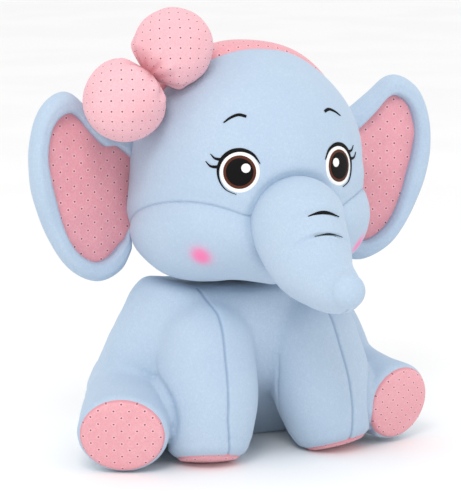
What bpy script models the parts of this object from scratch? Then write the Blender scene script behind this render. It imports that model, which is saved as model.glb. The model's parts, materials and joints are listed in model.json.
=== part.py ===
"""A seated stuffed elephant, sewn from fabric covers over loose filling.

Metres, +Z up. The elephant sits on the floor plane z = 0 and faces -Y, so its left side is +X.
Every stuffed piece is a thin fabric cover, open where it is sewn to its neighbour, round a filling.
Each piece that can bend at its seam turns in a ball-shaped socket, cut into the piece that holds it.
"""

import math

import bmesh
import bpy
from mathutils import Matrix, Vector

# Driving dimensions
CLOTH = 0.0015
FILLING_GAP = 0.0015
PANEL_GAP = 0.0005

HEAD_CENTRE = Vector((0, 0.057, 0.260))
HEAD_RADIUS = 0.105
JOWL_SWELL = 0.18
NECK_OPENING = 0.030

BAND_FRONT = math.radians(-10)
BAND_BACK = math.radians(18)
BAND_REACH = math.radians(58)
BAND_THICKNESS = 0.003

CENTRING = -0.00907

TORSO_DEPTH_SHARE = 0.58
BELLY_DEPTH_SHARE = 0.42
TORSO_FOOT_Y = 0.088
TORSO_TOP_Y = 0.076
TORSO_HEIGHT = 0.1515

TRUNK_BALL = 0.043
TRUNK_ROOT = Vector((0, -0.048, 0.221))
TRUNK_CLEARANCE = 0.003

SHOULDER = Vector((0.052, 0.046, 0.099))
FRONT_FOOT = Vector((0.063, 0.014, 0.0160))
FRONT_LEG_BALL = 0.043
FRONT_FOOT_RADIUS = 0.040

HIP = Vector((0.092, 0.100, 0.050))
HIND_FEET = {"left": Vector((0.127, 0.006, 0.040)), "right": Vector((-0.143, 0.006, 0.036))}
HIND_LEG_BALL = 0.043
HIND_FOOT_RADIUS = 0.038

LEG_CLEARANCE = 0.0025
FRONT_LEG_SWING_ROOM = 0.10
HIND_LEG_SWING_ROOM = 0.20
SOLE_SHARE = 0.90
SOLE_THICKNESS = 0.002

EAR_ROOT_X = 0.104
EAR_ROOT_Y = 0.095
EAR_SWEEP = -0.16
EAR_GAP = 0.004
EAR_HALF_THICKNESS = 0.0105
EAR_MIDDLE = Vector((0.146, 0, 0.246))
EAR_TOP = Vector((0.166, 0, 0.329))
EAR_OUTER = Vector((0.1985, 0, 0.262))
EAR_BOTTOM = Vector((0.134, 0, 0.156))
EAR_LINING_SHARE = 0.79
EAR_LINING_FRONT = -0.0085
EAR_LINING_BACK = -0.0068

BOW_UPPER = Vector((-0.081, 0.036, 0.3675))
BOW_LOWER = Vector((-0.126, 0.036, 0.3245))
BOW_RADIUS = 0.0365
BOW_SEAT = 0.0042

EYE_PLACE = Vector((0.0485, -0.093, 0.006))
EYE_RADIUS = 0.0175
BROW_PLACE = Vector((0.046, -0.080, 0.056))
BROW_LENGTH = 0.022
BROW_WIDTH = 0.0026
STITCH_THICKNESS = 0.001

CREASE_PLACES = {"trunk_crease_upper": 0.50, "trunk_crease_lower": 1.10}
TRUNK_SPAN_LENGTH = 0.036
CREASE_SPREAD = math.radians(24)
CREASE_WIDTH = 0.0026

TAIL_ROOT = Vector((0, 0.1677, 0.062))
TAIL_TIP = Vector((0, 0.1680, 0.018))
TAIL_RADIUS = 0.0075

BLUE = (0.50, 0.67, 0.84)
PINK = (0.86, 0.50, 0.55)
WHITE = (0.92, 0.91, 0.88)
BLACK = (0.02, 0.02, 0.02)

SEGMENTS = 24
LIMB_SEGMENTS = 16
FILLING_SEGMENTS = 10


def clear_scene():
    for old in list(bpy.data.objects):
        bpy.data.objects.remove(old)


def fabric(name, colour, roughness=0.9):
    material = bpy.data.materials.new(name)
    material.use_nodes = True
    shader = material.node_tree.nodes["Principled BSDF"]
    shader.inputs["Base Color"].default_value = (*colour, 1)
    shader.inputs["Roughness"].default_value = roughness
    shader.inputs["Metallic"].default_value = 0
    return material


def add_object(name, mesh_data, origin, material):
    """Links a bmesh as an object whose origin is at origin; the mesh is given in world coordinates."""
    bmesh.ops.recalc_face_normals(mesh_data, faces=mesh_data.faces)
    bmesh.ops.transform(mesh_data, matrix=Matrix.Translation(-origin), verts=mesh_data.verts)
    mesh = bpy.data.meshes.new(name)
    mesh_data.to_mesh(mesh)
    mesh_data.free()
    mesh.shade_smooth()
    mesh.set_sharp_from_angle(angle=math.radians(40))
    if material is not None:
        mesh.materials.append(material)
    made = bpy.data.objects.new(name, mesh)
    made.location = origin
    bpy.context.scene.collection.objects.link(made)
    return made


def skin_rings(rings, cap_last=False):
    """Joins rings of points with faces. A ring of one point is a pole."""
    made = bmesh.new()
    rows = [[made.verts.new(point) for point in ring] for ring in rings]
    for row, following in zip(rows, rows[1:]):
        count = max(len(row), len(following))
        for i in range(count):
            j = (i + 1) % count
            near = [row[i % len(row)], row[j % len(row)]]
            far = [following[j % len(following)], following[i % len(following)]]
            made.faces.new(dict.fromkeys(near + far))
    if cap_last:
        made.faces.new(rows[-1])
    return made


def inset_profile(profile, inset):
    """Moves a profile of (radius, along) pairs inwards by inset, across its own direction."""
    moved = []
    last = len(profile) - 1
    for i, (radius, along) in enumerate(profile):
        before = profile[max(i - 1, 0)]
        after = profile[min(i + 1, last)]
        direction = Vector((after[0] - before[0], after[1] - before[1])).normalized()
        if radius == 0:
            direction = Vector((1, 0))
        moved.append((max(radius - inset * direction.y, 0), along + inset * direction.x))
    return moved


def form_rings(profile, place, segments, inset=0.0):
    """Rings of a stuffed form. place turns (radius, along, angle) into a point."""
    rings = []
    for radius, along in inset_profile(profile, inset):
        if radius < 1e-6:
            rings.append([place(0, along, 0)])
        else:
            turn = 2 * math.pi / segments
            rings.append([place(radius, along, i * turn) for i in range(segments)])
    return rings


def cover_and_filling(name, profile, place, segments, origin, material, stuffing):
    """A fabric cover, open at the profile's end, and the filling inside it."""
    outside = form_rings(profile, place, segments)
    inside = form_rings(profile, place, segments, CLOTH)
    cover = add_object(name, skin_rings(outside + inside[::-1]), origin, material)
    inner = form_rings(profile, place, FILLING_SEGMENTS, CLOTH + FILLING_GAP)
    filling = add_object(name + "_filling", skin_rings(inner, cap_last=True), origin, stuffing)
    return cover, filling


def cutter(name, profile, place, origin):
    rings = form_rings(profile, place, SEGMENTS)
    made = add_object(name, skin_rings(rings, cap_last=len(rings[-1]) > 1), origin, None)
    made.hide_render = True
    made.display_type = "WIRE"
    return made


def cut(target, tool):
    modifier = target.modifiers.new("Cut by " + tool.name, "BOOLEAN")
    modifier.operation = "DIFFERENCE"
    modifier.solver = "EXACT"
    modifier.object = tool


def ball_profile(radius, start, end, steps):
    """Part of a ball's profile, between two angles measured from its first pole."""
    angles = [start + (end - start) * i / steps for i in range(steps + 1)]
    return [(radius * math.sin(a) if a > 1e-9 else 0, -radius * math.cos(a)) for a in angles]


def straight_place(start, end):
    """Places rings along the line from start to end, above the floor."""
    axis = (end - start).normalized()
    side = axis.cross(Vector((0, 0, 1))).normalized()
    up = side.cross(axis)

    def place(radius, along, angle):
        point = start + axis * along + side * (radius * math.cos(angle)) + up * (radius * math.sin(angle))
        point.z = max(point.z, 0)
        return point

    return place


# Head


def head_radius(elevation):
    """Distance from the head's centre to its cover. Below the middle the head swells into jowls."""
    if elevation >= 0:
        return HEAD_RADIUS
    return HEAD_RADIUS * (1 + JOWL_SWELL * math.sin(2 * elevation) ** 2)


def head_point(direction, lift=0.0):
    direction = direction.normalized()
    elevation = math.asin(max(-1.0, min(1.0, direction.z)))
    return HEAD_CENTRE + direction * (head_radius(elevation) + lift)


def head_half_width(height):
    """Half width of the head at a height, from the angle whose point lies there."""
    best = min(
        (math.radians(step) for step in range(-75, 76)),
        key=lambda a: abs(HEAD_CENTRE.z + head_radius(a) * math.sin(a) - height),
    )
    return head_radius(best) * math.cos(best)


def head_profile():
    """Radius and depth below the head's centre, from the crown down to the neck opening."""
    steps = 15
    opening = math.asin(NECK_OPENING / HEAD_RADIUS)
    span = math.pi - opening
    angles = [math.pi / 2 - span * i / steps for i in range(steps + 1)]
    profile = [(head_radius(a) * math.cos(a), -head_radius(a) * math.sin(a)) for a in angles]
    profile[0] = (0, -HEAD_RADIUS)
    return profile


def head_place(radius, along, angle):
    return HEAD_CENTRE + Vector((radius * math.cos(angle), radius * math.sin(angle), -along))


def build_head(blue, pink, stuffing):
    profile = head_profile()
    head, filling = cover_and_filling("head", profile, head_place, SEGMENTS, HEAD_CENTRE, blue, stuffing)
    reach = TRUNK_BALL + TRUNK_CLEARANCE
    socket = cutter(
        "trunk_socket_cutter",
        ball_profile(reach, 0, math.pi, 10),
        straight_place(TRUNK_ROOT, TRUNK_ROOT - Vector((0, 1, 0))),
        TRUNK_ROOT,
    )
    cut(head, socket)
    cut(filling, socket)
    build_crown_band(pink)
    return head


def build_crown_band(pink):
    """The patterned panel over the crown. It narrows towards the ears and stands a little proud."""
    across = 5
    along = 14
    rows = []
    for i in range(along + 1):
        tilt = -BAND_REACH + 2 * BAND_REACH * i / along
        row = []
        for j in range(across + 1):
            lean = BAND_FRONT + (BAND_BACK - BAND_FRONT) * j / across
            upright = math.cos(tilt)
            row.append(Vector((math.sin(tilt), upright * math.sin(lean), upright * math.cos(lean))))
        rows.append(row)
    add_object("crown_band", thick_patch(rows, head_point, PANEL_GAP, BAND_THICKNESS), HEAD_CENTRE, pink)


def thick_patch(rows, surface, gap, thickness):
    """A sheet of even thickness over a surface, from a grid of directions or parameters."""
    made = bmesh.new()
    lower = [[made.verts.new(surface(cell, gap)) for cell in row] for row in rows]
    upper = [[made.verts.new(surface(cell, gap + thickness)) for cell in row] for row in rows]
    for grid, facing in ((lower, -1), (upper, 1)):
        for i in range(len(grid) - 1):
            for j in range(len(grid[0]) - 1):
                corners = [grid[i][j], grid[i + 1][j], grid[i + 1][j + 1], grid[i][j + 1]]
                made.faces.new(corners[::facing])
    rim = rim_of(lower)
    top_rim = rim_of(upper)
    for k in range(len(rim)):
        following = (k + 1) % len(rim)
        made.faces.new([rim[k], rim[following], top_rim[following], top_rim[k]])
    return made


def rim_of(grid):
    """The grid's border as one loop."""
    first = grid[0]
    last = [row[-1] for row in grid[1:-1]]
    end = grid[-1][::-1]
    back = [row[0] for row in grid[1:-1]][::-1]
    return first + last + end + back


# Face stitching


def stitched_disc(name, centre_direction, radius, material):
    """A thin round patch on the head, such as an eye."""
    normal = centre_direction.normalized()
    side = normal.cross(Vector((0, 0, 1))).normalized()
    up = side.cross(normal)
    base = HEAD_RADIUS * math.tan(radius / HEAD_RADIUS)
    rings = []
    for lift, shares in ((PANEL_GAP, (0, 0.5, 1)), (PANEL_GAP + STITCH_THICKNESS, (1, 0.5, 0))):
        for share in shares:
            count = 20 if share else 1
            ring = []
            for i in range(count):
                turn = 2 * math.pi * i / count
                offset = (side * math.cos(turn) + up * math.sin(turn)) * (base * share)
                ring.append(head_point(normal * HEAD_RADIUS + offset, lift))
            rings.append(ring)
    return add_object(name, skin_rings(rings), head_point(normal), material)


def stitched_brow(name, place, sign, material):
    """A short arched line of stitches over an eye."""
    steps = 6
    rows = []
    for i in range(steps + 1):
        share = i / steps - 0.5
        arch = 0.004 * (1 - 4 * share * share)
        width = BROW_WIDTH * (1 - 1.2 * share * share)
        middle = place + Vector((-sign * share * BROW_LENGTH, 0, arch + 0.004 * share))
        rows.append([middle + Vector((0, 0, width / 2)), middle - Vector((0, 0, width / 2))])
    add_object(name, thick_patch(rows, head_point, PANEL_GAP, STITCH_THICKNESS), head_point(place), material)


def build_face(white, black):
    for side, sign in (("left", 1), ("right", -1)):
        eye = Vector((sign * EYE_PLACE.x, EYE_PLACE.y, EYE_PLACE.z))
        brow = Vector((sign * BROW_PLACE.x, BROW_PLACE.y, BROW_PLACE.z))
        stitched_disc(side + "_eye", eye, EYE_RADIUS, white)
        stitched_brow(side + "_brow", brow, sign, black)


# Trunk


def trunk_line():
    """Centre points of the trunk in its upright plane, with the radius at each, from root to tip."""
    return [
        (TRUNK_ROOT.y, TRUNK_ROOT.z, TRUNK_BALL),
        (-0.076, 0.191, 0.0355),
        (-0.101, 0.1785, 0.0272),
        (-0.125, 0.1745, 0.0200),
        (-0.142, 0.1765, 0.0155),
    ]


def smooth_between(points, t):
    """Catmull-Rom curve through points of any size; t runs from 0 to the number of spans."""
    last = len(points) - 1
    i = min(int(t), last - 1)
    f = t - i
    a, b, c, d = (points[max(0, min(last, k))] for k in (i - 1, i, i + 1, i + 2))
    return [
        0.5 * (2 * q + (r - p) * f + (2 * p - 5 * q + 4 * r - s) * f * f + (3 * q - p - 3 * r + s) * f**3)
        for p, q, r, s in zip(a, b, c, d)
    ]


def trunk_frame(t):
    y, z, radius = smooth_between(trunk_line(), t)
    ahead_y, ahead_z, _ = smooth_between(trunk_line(), t + 0.01)
    before_y, before_z, _ = smooth_between(trunk_line(), max(t - 0.01, 0))
    direction = Vector((0, ahead_y - before_y, ahead_z - before_z)).normalized()
    return Vector((0, y, z)), direction, radius


def trunk_point(t, radius, angle):
    centre, direction, _ = trunk_frame(t)
    above = direction.cross(Vector((1, 0, 0)))
    return centre + Vector((1, 0, 0)) * (radius * math.cos(angle)) + above * (radius * math.sin(angle))


def trunk_rings(inset, segments):
    """Closed at the tip, open at the ball end that sits in the head."""
    spans = len(trunk_line()) - 1
    end_centre, end_direction, end_radius = trunk_frame(spans - 0.01)
    above = end_direction.cross(Vector((1, 0, 0)))
    turns = [2 * math.pi * i / segments for i in range(segments)]
    across = Vector((1, 0, 0))
    rings = [[end_centre + end_direction * (end_radius - inset)]]
    for angle in (0.6, 1.1):
        reach = (end_radius - inset) * math.sin(angle)
        centre = end_centre + end_direction * ((end_radius - inset) * math.cos(angle))
        rings.append([centre + (across * math.cos(a) + above * math.sin(a)) * reach for a in turns])
    steps = 8
    for i in range(steps + 1):
        t = (spans - 0.01) * (1 - i / steps)
        radius = trunk_frame(t)[2] - inset
        rings.append([trunk_point(t, radius, a) for a in turns])
    _, root_direction, _ = trunk_frame(0)
    above = root_direction.cross(Vector((1, 0, 0)))
    for angle in (0.45, 0.9):
        reach = (TRUNK_BALL - inset) * math.cos(angle)
        centre = TRUNK_ROOT - root_direction * ((TRUNK_BALL - inset) * math.sin(angle))
        rings.append([centre + (across * math.cos(a) + above * math.sin(a)) * reach for a in turns])
    return rings


def build_trunk(blue, black, stuffing):
    outside = trunk_rings(0, LIMB_SEGMENTS)
    inside = trunk_rings(CLOTH, LIMB_SEGMENTS)
    add_object("trunk", skin_rings(outside + inside[::-1]), TRUNK_ROOT, blue)
    inner = trunk_rings(CLOTH + FILLING_GAP, FILLING_SEGMENTS)
    add_object("trunk_filling", skin_rings(inner, cap_last=True), TRUNK_ROOT, stuffing)
    steps = 8
    slide = CREASE_WIDTH / 2 / TRUNK_SPAN_LENGTH
    for name, place in CREASE_PLACES.items():
        rows = []
        for i in range(steps + 1):
            turn = math.pi / 2 + CREASE_SPREAD * (2 * i / steps - 1)
            rows.append([(place - slide, turn), (place + slide, turn)])
        crease = thick_patch(rows, trunk_surface, PANEL_GAP, STITCH_THICKNESS)
        add_object(name, crease, TRUNK_ROOT, black)


def trunk_surface(cell, lift):
    t, turn = cell
    return trunk_point(t, trunk_frame(t)[2] + lift, turn)


# Torso


def torso_profile():
    """Half widths and heights, from the flat seat up to the neck."""
    return [
        (0, 0),
        (0.040, 0),
        (0.090, 0),
        (0.110, 0.010),
        (0.122, 0.030),
        (0.126, 0.055),
        (0.126, 0.080),
        (0.119, 0.105),
        (0.106, 0.127),
        (0.091, 0.141),
        (0.064, 0.1485),
        (NECK_OPENING, TORSO_HEIGHT),
    ]


def torso_place(radius, along, angle):
    """An oval ring of the torso. In front it is shallower towards the seat, where the belly tucks in."""
    rise = along / TORSO_HEIGHT
    middle = TORSO_FOOT_Y + (TORSO_TOP_Y - TORSO_FOOT_Y) * rise
    in_front = max(-math.sin(angle), 0)
    tuck = (TORSO_DEPTH_SHARE - BELLY_DEPTH_SHARE) * (1 - rise) * in_front
    depth = radius * (TORSO_DEPTH_SHARE - tuck)
    return Vector((radius * math.cos(angle), middle + depth * math.sin(angle), along))


def build_torso(blue, stuffing):
    seat = Vector((0, TORSO_FOOT_Y, 0))
    return cover_and_filling("torso", torso_profile(), torso_place, SEGMENTS, seat, blue, stuffing)


# Legs


def leg_profile(ball, foot, length, extra=0.0, swing=0.0):
    """A ball at the joint, then a leg that narrows to its foot. extra and swing widen it for a cutter."""
    round_end = ball_profile(ball + extra, 0, math.pi / 2, 5)
    shaft = []
    for share in (0.33, 0.66, 0.88):
        radius = ball + (foot - ball) * share
        shaft.append((radius + extra + swing * length * share, length * share))
    shaft.append((foot * 0.97 + extra + swing * length, length))
    return round_end + shaft


def turned_in(profile, foot, length):
    """Adds the seam allowance that turns in under the foot, where the sole is sewn."""
    return profile + [(foot * (SOLE_SHARE + 0.02), length + foot * 0.10)]


def mirrored(point, sign):
    return Vector((sign * point.x, point.y, point.z))


def build_leg(name, joint, foot_place, ball, foot, swing, materials):
    """Cover, filling and sole of one leg, and the cutter that makes room for its swing."""
    blue, pink, stuffing = materials
    length = (foot_place - joint).length
    place = straight_place(joint, foot_place)
    profile = turned_in(leg_profile(ball, foot, length), foot, length)
    cover, filling = cover_and_filling(name, profile, place, LIMB_SEGMENTS, joint, blue, stuffing)
    end = profile[-1][1]
    sole_radius = foot * SOLE_SHARE
    near = end + PANEL_GAP
    far = near + SOLE_THICKNESS
    outer = [(0, far), (sole_radius * 0.6, far), (sole_radius * 0.96, far), (sole_radius, near), (0, near)]
    sole_rings = []
    for radius, along in outer:
        count = LIMB_SEGMENTS if radius else 1
        sole_rings.append([place(radius, along, 2 * math.pi * i / count) for i in range(count)])
    add_object(name + "_sole", skin_rings(sole_rings), foot_place, pink)
    room = leg_profile(ball, foot, length + foot * 0.3, LEG_CLEARANCE, swing)
    axis = (foot_place - joint).normalized()
    side = axis.cross(Vector((0, 0, 1))).normalized()
    up = side.cross(axis)

    def place_cutter(radius, along, angle):
        return joint + axis * along + side * (radius * math.cos(angle)) + up * (radius * math.sin(angle))

    tool = cutter(name + "_cutter", room, place_cutter, joint)
    return cover, filling, tool


def build_legs(torso, torso_filling, materials):
    for side, sign in (("left", 1), ("right", -1)):
        front = build_leg(
            side + "_front_leg",
            mirrored(SHOULDER, sign),
            mirrored(FRONT_FOOT, sign),
            FRONT_LEG_BALL,
            FRONT_FOOT_RADIUS,
            FRONT_LEG_SWING_ROOM,
            materials,
        )
        hind = build_leg(
            side + "_hind_leg",
            mirrored(HIP, sign),
            HIND_FEET[side],
            HIND_LEG_BALL,
            HIND_FOOT_RADIUS,
            HIND_LEG_SWING_ROOM,
            materials,
        )
        for tool in (front[2], hind[2]):
            cut(torso, tool)
            cut(torso_filling, tool)
        cut(hind[0], front[2])
        cut(hind[1], front[2])


# Ears


def head_edge_beside_ear(height):
    """How far out the head reaches at a height, where the front of the ear passes it."""
    behind = EAR_ROOT_Y - EAR_HALF_THICKNESS - HEAD_CENTRE.y
    return math.sqrt(max(head_half_width(height) ** 2 - behind**2, 0))


def ear_outline(segments):
    """Outline in the ear's own plane, as (x, z). The root side follows the head, a gap away."""
    points = []
    for i in range(segments):
        turn = 2 * math.pi * i / segments
        across = math.cos(turn)
        rise = math.sin(turn)
        if rise >= 0:
            height = EAR_MIDDLE.z + (EAR_TOP.z - EAR_MIDDLE.z) * rise
        else:
            height = EAR_MIDDLE.z + (EAR_MIDDLE.z - EAR_BOTTOM.z) * rise
        lean = EAR_TOP.x if rise >= 0 else EAR_BOTTOM.x
        centre_x = EAR_MIDDLE.x + (lean - EAR_MIDDLE.x) * abs(rise) ** 2
        reach = (EAR_OUTER.x - EAR_MIDDLE.x) * (1 if across > 0 else 0.86)
        x = centre_x + reach * math.copysign(abs(across) ** 0.9, across)
        x = max(x, head_edge_beside_ear(height) + EAR_GAP)
        points.append((x, height))
    return points


def ear_rings(shares_and_depths, sign, segments):
    outline = ear_outline(segments)
    rings = []
    for share, depth in shares_and_depths:
        ring = []
        for x, z in outline if share else outline[:1]:
            flat_x = EAR_MIDDLE.x + (x - EAR_MIDDLE.x) * share
            flat_z = EAR_MIDDLE.z + (z - EAR_MIDDLE.z) * share
            y = EAR_ROOT_Y + (flat_x - EAR_ROOT_X) * EAR_SWEEP + depth
            ring.append(Vector((sign * flat_x, y, flat_z)))
        rings.append(ring)
    return rings


def build_ears(blue, pink, stuffing):
    """Each ear is a blue cover, open in front inside its rim, a patterned lining there, and filling.

    Each path is the section of one piece: pairs of share of the outline and depth behind the middle plane.
    """
    edge = EAR_LINING_SHARE + 0.01
    back = [(0, 0.0095), (0.55, 0.0105), (0.84, 0.0095), (0.97, 0.0045)]
    rim = [(1.0, -0.001), (0.96, -0.008), (0.87, -EAR_HALF_THICKNESS), (edge, -0.009)]
    inside_rim = [(edge, -0.0065), (0.88, -0.0075), (0.94, -0.005), (0.96, 0.0)]
    inside_back = [(0.93, 0.004), (0.82, 0.0075), (0.55, 0.0085), (0, 0.0075)]
    cover_path = back + rim + inside_rim + inside_back
    lining_front = [(share, EAR_LINING_FRONT) for share in (0, 0.5, EAR_LINING_SHARE)]
    lining_path = lining_front + [(EAR_LINING_SHARE, EAR_LINING_BACK), (0, EAR_LINING_BACK)]
    filling_path = [(0, -0.0055), (0.8, -0.0055), (0.92, -0.002), (0.9, 0.002), (0.8, 0.0055), (0, 0.006)]
    for side, sign in (("left", 1), ("right", -1)):
        root = Vector((sign * EAR_ROOT_X, EAR_ROOT_Y, EAR_MIDDLE.z))
        for name, path, material in (
            (side + "_ear", cover_path, blue),
            (side + "_ear_lining", lining_path, pink),
            (side + "_ear_filling", filling_path, stuffing),
        ):
            add_object(name, skin_rings(ear_rings(path, sign, SEGMENTS)), root, material)


# Bow


def bow_place(centre, other):
    """Places a lobe's rings: round, but flat where it meets the other lobe and where it rests on the head."""
    away = (centre - other).normalized()
    forward = Vector((0, -1, 0))
    side = away.cross(forward).normalized()
    half_gap = (centre - other).length / 2 - PANEL_GAP

    def place_for(inset):
        def place(radius, along, angle):
            outward = forward * math.cos(angle) + side * math.sin(angle)
            point = centre - away * along + outward * radius
            short = (point - centre).dot(away) + half_gap - inset
            if short < 0:
                point -= away * short
            from_head = point - HEAD_CENTRE
            seat = head_radius(math.asin(from_head.normalized().z)) + BOW_SEAT + inset
            if from_head.length < seat:
                point = HEAD_CENTRE + from_head.normalized() * seat
            return point

        return place

    return place_for


def build_bow(pink, stuffing):
    for name, centre, other in (
        ("bow_upper_lobe", BOW_UPPER, BOW_LOWER),
        ("bow_lower_lobe", BOW_LOWER, BOW_UPPER),
    ):
        place_for = bow_place(centre, other)
        profile = ball_profile(BOW_RADIUS, 0, math.radians(158), 10)
        outside = form_rings(profile, place_for(0), LIMB_SEGMENTS)
        inside = form_rings(profile, place_for(CLOTH), LIMB_SEGMENTS, CLOTH)
        add_object(name, skin_rings(outside + inside[::-1]), centre, pink)
        gap = CLOTH + FILLING_GAP
        inner = form_rings(profile, place_for(gap), FILLING_SEGMENTS, gap)
        add_object(name + "_filling", skin_rings(inner, cap_last=True), centre, stuffing)


# Tail


def build_tail(blue):
    length = (TAIL_TIP - TAIL_ROOT).length
    profile = ball_profile(TAIL_RADIUS, 0, math.pi / 2, 3)
    profile += [(TAIL_RADIUS * 0.85, length * 0.6), (TAIL_RADIUS, length * 0.85)]
    profile += [(TAIL_RADIUS * 0.7, length), (0, length + 0.003)]
    place = straight_place(TAIL_ROOT, TAIL_TIP)
    add_object("tail", skin_rings(form_rings(profile, place, 12)), TAIL_ROOT, blue)


def centre_whole():
    """Moves everything so that the origin is under the middle of the whole."""
    for made in bpy.context.scene.objects:
        made.location.y += CENTRING


def main():
    clear_scene()
    blue = fabric("blue_plush", BLUE)
    pink = fabric("pink_print", PINK)
    white = fabric("eye_thread", WHITE, 0.5)
    black = fabric("black_thread", BLACK, 0.4)
    stuffing = fabric("polyester_filling", WHITE)
    torso, torso_filling = build_torso(blue, stuffing)
    build_head(blue, pink, stuffing)
    build_face(white, black)
    build_trunk(blue, black, stuffing)
    build_legs(torso, torso_filling, (blue, pink, stuffing))
    build_ears(blue, pink, stuffing)
    build_bow(pink, stuffing)
    build_tail(blue)
    centre_whole()


main()
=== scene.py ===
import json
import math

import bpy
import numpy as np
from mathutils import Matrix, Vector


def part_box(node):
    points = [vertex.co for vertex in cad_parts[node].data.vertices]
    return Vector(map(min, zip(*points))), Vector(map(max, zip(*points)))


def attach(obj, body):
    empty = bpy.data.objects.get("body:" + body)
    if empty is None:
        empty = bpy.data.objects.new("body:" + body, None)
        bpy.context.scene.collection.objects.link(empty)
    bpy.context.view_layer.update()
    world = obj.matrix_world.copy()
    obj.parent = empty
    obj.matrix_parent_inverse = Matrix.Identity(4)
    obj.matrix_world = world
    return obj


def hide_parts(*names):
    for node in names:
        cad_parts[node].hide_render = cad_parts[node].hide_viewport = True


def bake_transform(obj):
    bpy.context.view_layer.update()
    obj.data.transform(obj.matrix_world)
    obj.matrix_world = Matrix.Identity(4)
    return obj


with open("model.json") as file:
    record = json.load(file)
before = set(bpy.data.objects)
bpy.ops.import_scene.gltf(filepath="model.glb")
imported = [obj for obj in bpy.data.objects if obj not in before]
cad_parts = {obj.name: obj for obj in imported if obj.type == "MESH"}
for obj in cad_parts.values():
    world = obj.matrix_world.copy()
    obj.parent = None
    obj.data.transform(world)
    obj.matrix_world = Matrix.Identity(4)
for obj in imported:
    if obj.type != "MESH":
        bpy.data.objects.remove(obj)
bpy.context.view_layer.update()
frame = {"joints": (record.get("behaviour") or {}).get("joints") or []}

# The looks of the seated stuffed elephant. Metres, +Z up; it faces -Y, so its left side is +X.
# Each sewn piece is a dense crowned skin round the space of its CAD cover, which it replaces along
# with the filling inside. The skins carry two vertex values: "seam", which darkens sewn grooves and
# also holds painted shade in the folds between the legs and the belly, in the bow's puckers and at
# its gathered middle, and in the crease round the trunk's root; and "blush". Patterned pieces carry
# a UV map in metres, so the print keeps its scale.

MM = 0.001
DEG = math.pi / 180

# Shapes are laid out from a point a little in front of the frame's origin, and moved as they are made.
LAYOUT_SHIFT = np.array([0, -9.07, 0]) * MM
JOINT_AT = {joint["name"]: np.array(joint["pos_m"], float) - LAYOUT_SHIFT for joint in frame["joints"]}

head_low, head_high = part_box("head")
HEAD_RADIUS = 105 * MM
HEAD_CENTRE = np.array([0, 57 * MM, head_high.z - HEAD_RADIUS])
JOWL_SWELL = 0.18

SEAM_GROOVE = 1.3 * MM
SEAM_HALF_WIDTH = 1.5 * MM


# Shaping helpers


def smoothstep(low, high, value):
    share = np.clip((np.asarray(value, float) - low) / (high - low), 0, 1)
    return share * share * (3 - 2 * share)


def bump(distance, half_width):
    return np.exp(-((np.asarray(distance) / half_width) ** 2))


def unit(vectors):
    vectors = np.asarray(vectors, float)
    return vectors / np.maximum(np.linalg.norm(vectors, axis=-1, keepdims=True), 1e-12)


def lumps(points, wavelength, seed):
    """Soft uneven filling: a smooth field from about -1 to 1, the same each run."""
    random = np.random.RandomState(seed)
    total = np.zeros(points.shape[:-1])
    waves = 14
    for direction in unit(random.normal(size=(waves, 3))):
        length = wavelength * random.uniform(0.7, 1.6)
        total += np.sin(points @ direction * (2 * math.pi / length) + random.uniform(0, 2 * math.pi))
    return total / math.sqrt(waves)


def polyline_distance(points, line):
    """Distance from each point to a line of straight stretches, and the share along it."""
    best = np.full(points.shape[:-1], 1e9)
    along = np.zeros(points.shape[:-1])
    line = np.asarray(line, float)
    for k in range(len(line) - 1):
        start, step = line[k], line[k + 1] - line[k]
        t = np.clip(((points - start) @ step) / (step @ step), 0, 1)
        gap = np.linalg.norm(points - (start + t[..., None] * step), axis=-1)
        closer = gap < best
        best = np.where(closer, gap, best)
        along = np.where(closer, (k + t) / (len(line) - 1), along)
    return best, along


def curve_through(points, t):
    """Catmull-Rom curve through rows of numbers; t runs from 0 to the number of spans."""
    points = np.asarray(points, float)
    t = np.asarray(t, float)
    last = len(points) - 1
    i = np.clip(t.astype(int), 0, last - 1)
    f = (t - i)[..., None]
    p, q, r, s = (points[np.clip(k, 0, last)] for k in (i - 1, i, i + 1, i + 2))
    return 0.5 * (2 * q + (r - p) * f + (2 * p - 5 * q + 4 * r - s) * f**2 + (3 * q - p - 3 * r + s) * f**3)


# Mesh helpers


def new_object(name, vertices, faces, material):
    mesh = bpy.data.meshes.new(name)
    shifted = np.asarray(vertices, float).reshape(-1, 3) + LAYOUT_SHIFT
    mesh.from_pydata(shifted.tolist(), [], faces)
    mesh.materials.append(material)
    made = bpy.data.objects.new(name, mesh)
    bpy.context.scene.collection.objects.link(made)
    mesh.shade_smooth()
    return made


def grid_faces(rows, columns, around, first=0):
    """Quads over a grid of vertices. around joins the last column to the first."""
    faces = []
    for i in range(rows - 1):
        for j in range(columns if around else columns - 1):
            k = (j + 1) % columns
            a, b = first + i * columns, first + (i + 1) * columns
            faces.append((a + j, a + k, b + k, b + j))
    return faces


def skin(name, points, material, around=True, paint=None, uv=None):
    """A skin over a grid of points. A row whose points are all in one place is closed as a pole."""
    rows, columns = points.shape[:2]
    made = new_object(name, points, grid_faces(rows, columns, around), material)
    for label, values in (paint or {}).items():
        layer = made.data.attributes.new(label, "FLOAT", "POINT")
        layer.data.foreach_set("value", np.asarray(values, np.float32).ravel())
    if uv is not None:
        lay_print(made, uv.reshape(-1, 2))
    weld(made)
    return made


def weld(made):
    import bmesh

    work = bmesh.new()
    work.from_mesh(made.data)
    bmesh.ops.remove_doubles(work, verts=work.verts, dist=1e-6)
    bmesh.ops.dissolve_degenerate(work, edges=work.edges, dist=1e-7)
    bmesh.ops.recalc_face_normals(work, faces=work.faces)
    work.to_mesh(made.data)
    work.free()
    made.data.shade_smooth()


def lay_print(made, uv):
    layer = made.data.uv_layers.new(name="print")
    corners = np.empty(len(made.data.loops), int)
    made.data.loops.foreach_get("vertex_index", corners)
    layer.data.foreach_set("uv", uv[corners].astype(np.float32).ravel())


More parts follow.
